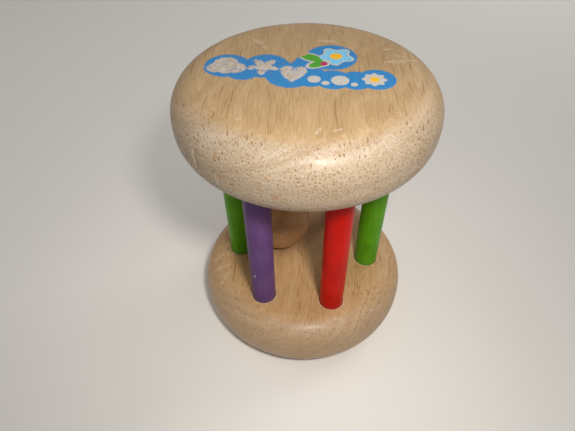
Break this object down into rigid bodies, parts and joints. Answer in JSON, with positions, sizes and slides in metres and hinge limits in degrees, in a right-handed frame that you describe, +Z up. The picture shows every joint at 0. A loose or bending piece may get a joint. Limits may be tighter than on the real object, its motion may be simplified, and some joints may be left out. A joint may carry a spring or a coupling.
{
  "type": "baby rattle",
  "caption": "Wooden roller rattle for a baby: rounded discs joined by a ring of painted bars that a small hand can hold, with a loose ball caged between them.",
  "frame": {"origin": "centre of the lower disc's flat face, on the surface that the rattle stands on", "axes": "+Z up along the rattle's axis from the lower disc to the upper disc; the wood grain of the discs runs along Y; +X points to the green bar on the right, and the front, with its purple and red bars, faces -Y"},
  "size_m": [0.073, 0.073, 0.093],
  "materials": {
    "disc_wood": "clear satin lacquer over turned hardwood",
    "ball_wood": "clear satin lacquer over turned hardwood",
    "green_paint": "satin paint over a hardwood dowel",
    "purple_paint": "satin paint over a hardwood dowel",
    "red_paint": "satin paint over a hardwood dowel"
  },
  "bodies": {
    "cage": {"lower_disc": "disc_wood", "upper_disc": "disc_wood", "green_bar_right": "green_paint", "purple_bar_rear": "purple_paint", "red_bar_rear": "red_paint", "green_bar_left": "green_paint", "purple_bar_front": "purple_paint", "red_bar_front": "red_paint"},
    "ball": {"ball": "ball_wood"}
  },
  "joints": [
    {"name": "ball_travel", "type": "slide", "parent": "cage", "child": "ball", "axis": [0, 0, 1], "range_m": [0, 0.0311]}
  ]
}
